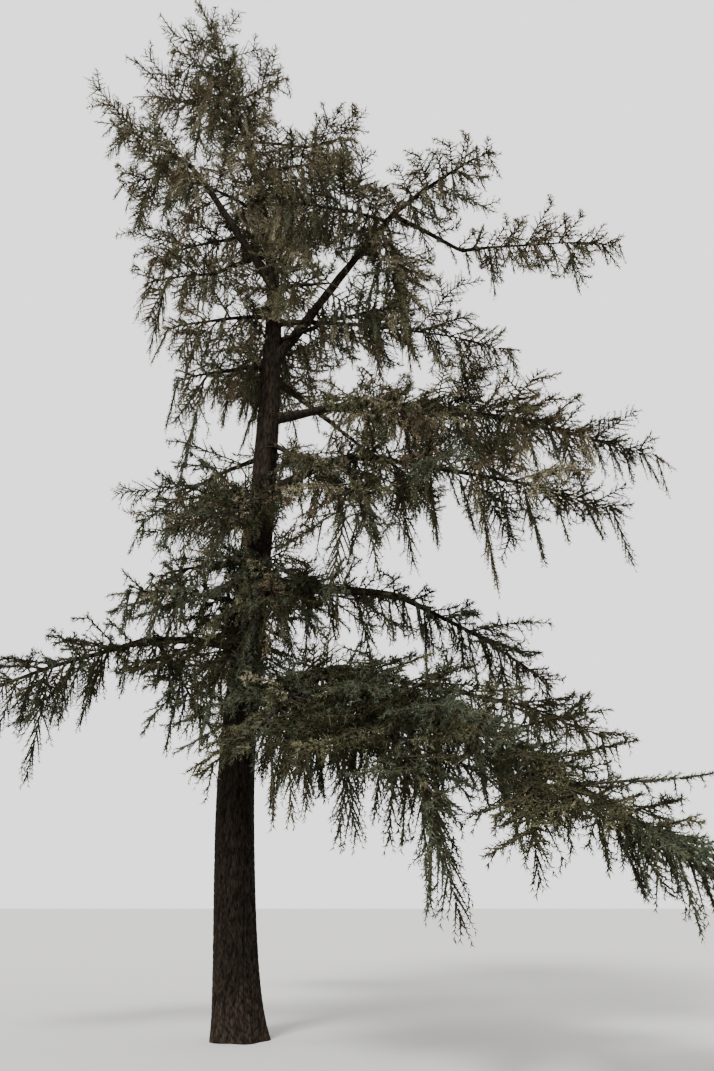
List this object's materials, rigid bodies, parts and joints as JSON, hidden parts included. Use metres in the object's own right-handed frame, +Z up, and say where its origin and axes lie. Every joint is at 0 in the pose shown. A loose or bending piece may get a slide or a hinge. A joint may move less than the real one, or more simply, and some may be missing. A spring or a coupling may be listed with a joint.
{
  "type": "atlas cedar tree",
  "caption": "Tall old cedar with a straight tapering trunk, long level and rising boughs, and weeping sprays of short grey-green needles, standing on level ground.",
  "frame": {"origin": "middle of the flat cut under the trunk, at ground level", "axes": "+Z up along the trunk, +X to the right and +Y away for someone who looks at the side that the picture shows"},
  "size_m": [12.0344, 9.9104, 22.8724],
  "materials": {
    "bark": "rough, in upright fissured plates, dark grey-brown",
    "needles": "matt grey-green needles"
  },
  "bodies": {
    "root": {"trunk": "bark", "bough_low_right": "bark", "bough_mid_right": "bark", "bough_centre_right": "bark", "bough_plateau": "bark", "bough_great_right": "bark", "bough_great_arm": "bark", "bough_under_right": "bark", "bough_back_right": "bark", "bough_top_right": "bark", "bough_upper_left": "bark", "bough_left": "bark", "bough_low_left": "bark", "bough_back_low": "bark", "foliage_tip": "needles", "foliage_spire_left": "needles", "foliage_spire_right": "needles", "foliage_top_left": "needles", "foliage_top_front": "needles", "foliage_top_right": "needles", "foliage_top_under": "needles", "foliage_upper_left_far": "needles", "foliage_upper_left_low": "needles", "foliage_upper_left_front": "needles", "foliage_left_upper": "needles", "foliage_left": "needles", "foliage_left_mid": "needles", "foliage_left_curtain": "needles", "foliage_left_rising": "needles", "foliage_left_low": "needles", "foliage_left_inner": "needles", "foliage_low_left_arm": "needles", "foliage_low_left_fall": "needles", "foliage_front_high": "needles", "foliage_front_mid": "needles", "foliage_front_left": "needles", "foliage_front_low_right": "needles", "foliage_front_low_left": "needles", "foliage_great_crown": "needles", "foliage_great_inner": "needles", "foliage_great_drop": "needles", "foliage_great_arm": "needles", "foliage_under_right": "needles", "foliage_inner_right": "needles", "foliage_plateau_outer": "needles", "foliage_plateau_drop": "needles", "foliage_plateau_inner": "needles", "foliage_centre_outer": "needles", "foliage_centre_cascade": "needles", "foliage_mid_outer": "needles", "foliage_mid_inner": "needles", "foliage_low_right_fall": "needles", "foliage_low_middle_fall": "needles", "foliage_low_front_fall": "needles", "foliage_low_right_arm": "needles", "foliage_back_right": "needles", "foliage_back_low": "needles", "foliage_back_left": "needles", "foliage_back_mid": "needles", "foliage_back_top": "needles"}
  },
  "joints": []
}
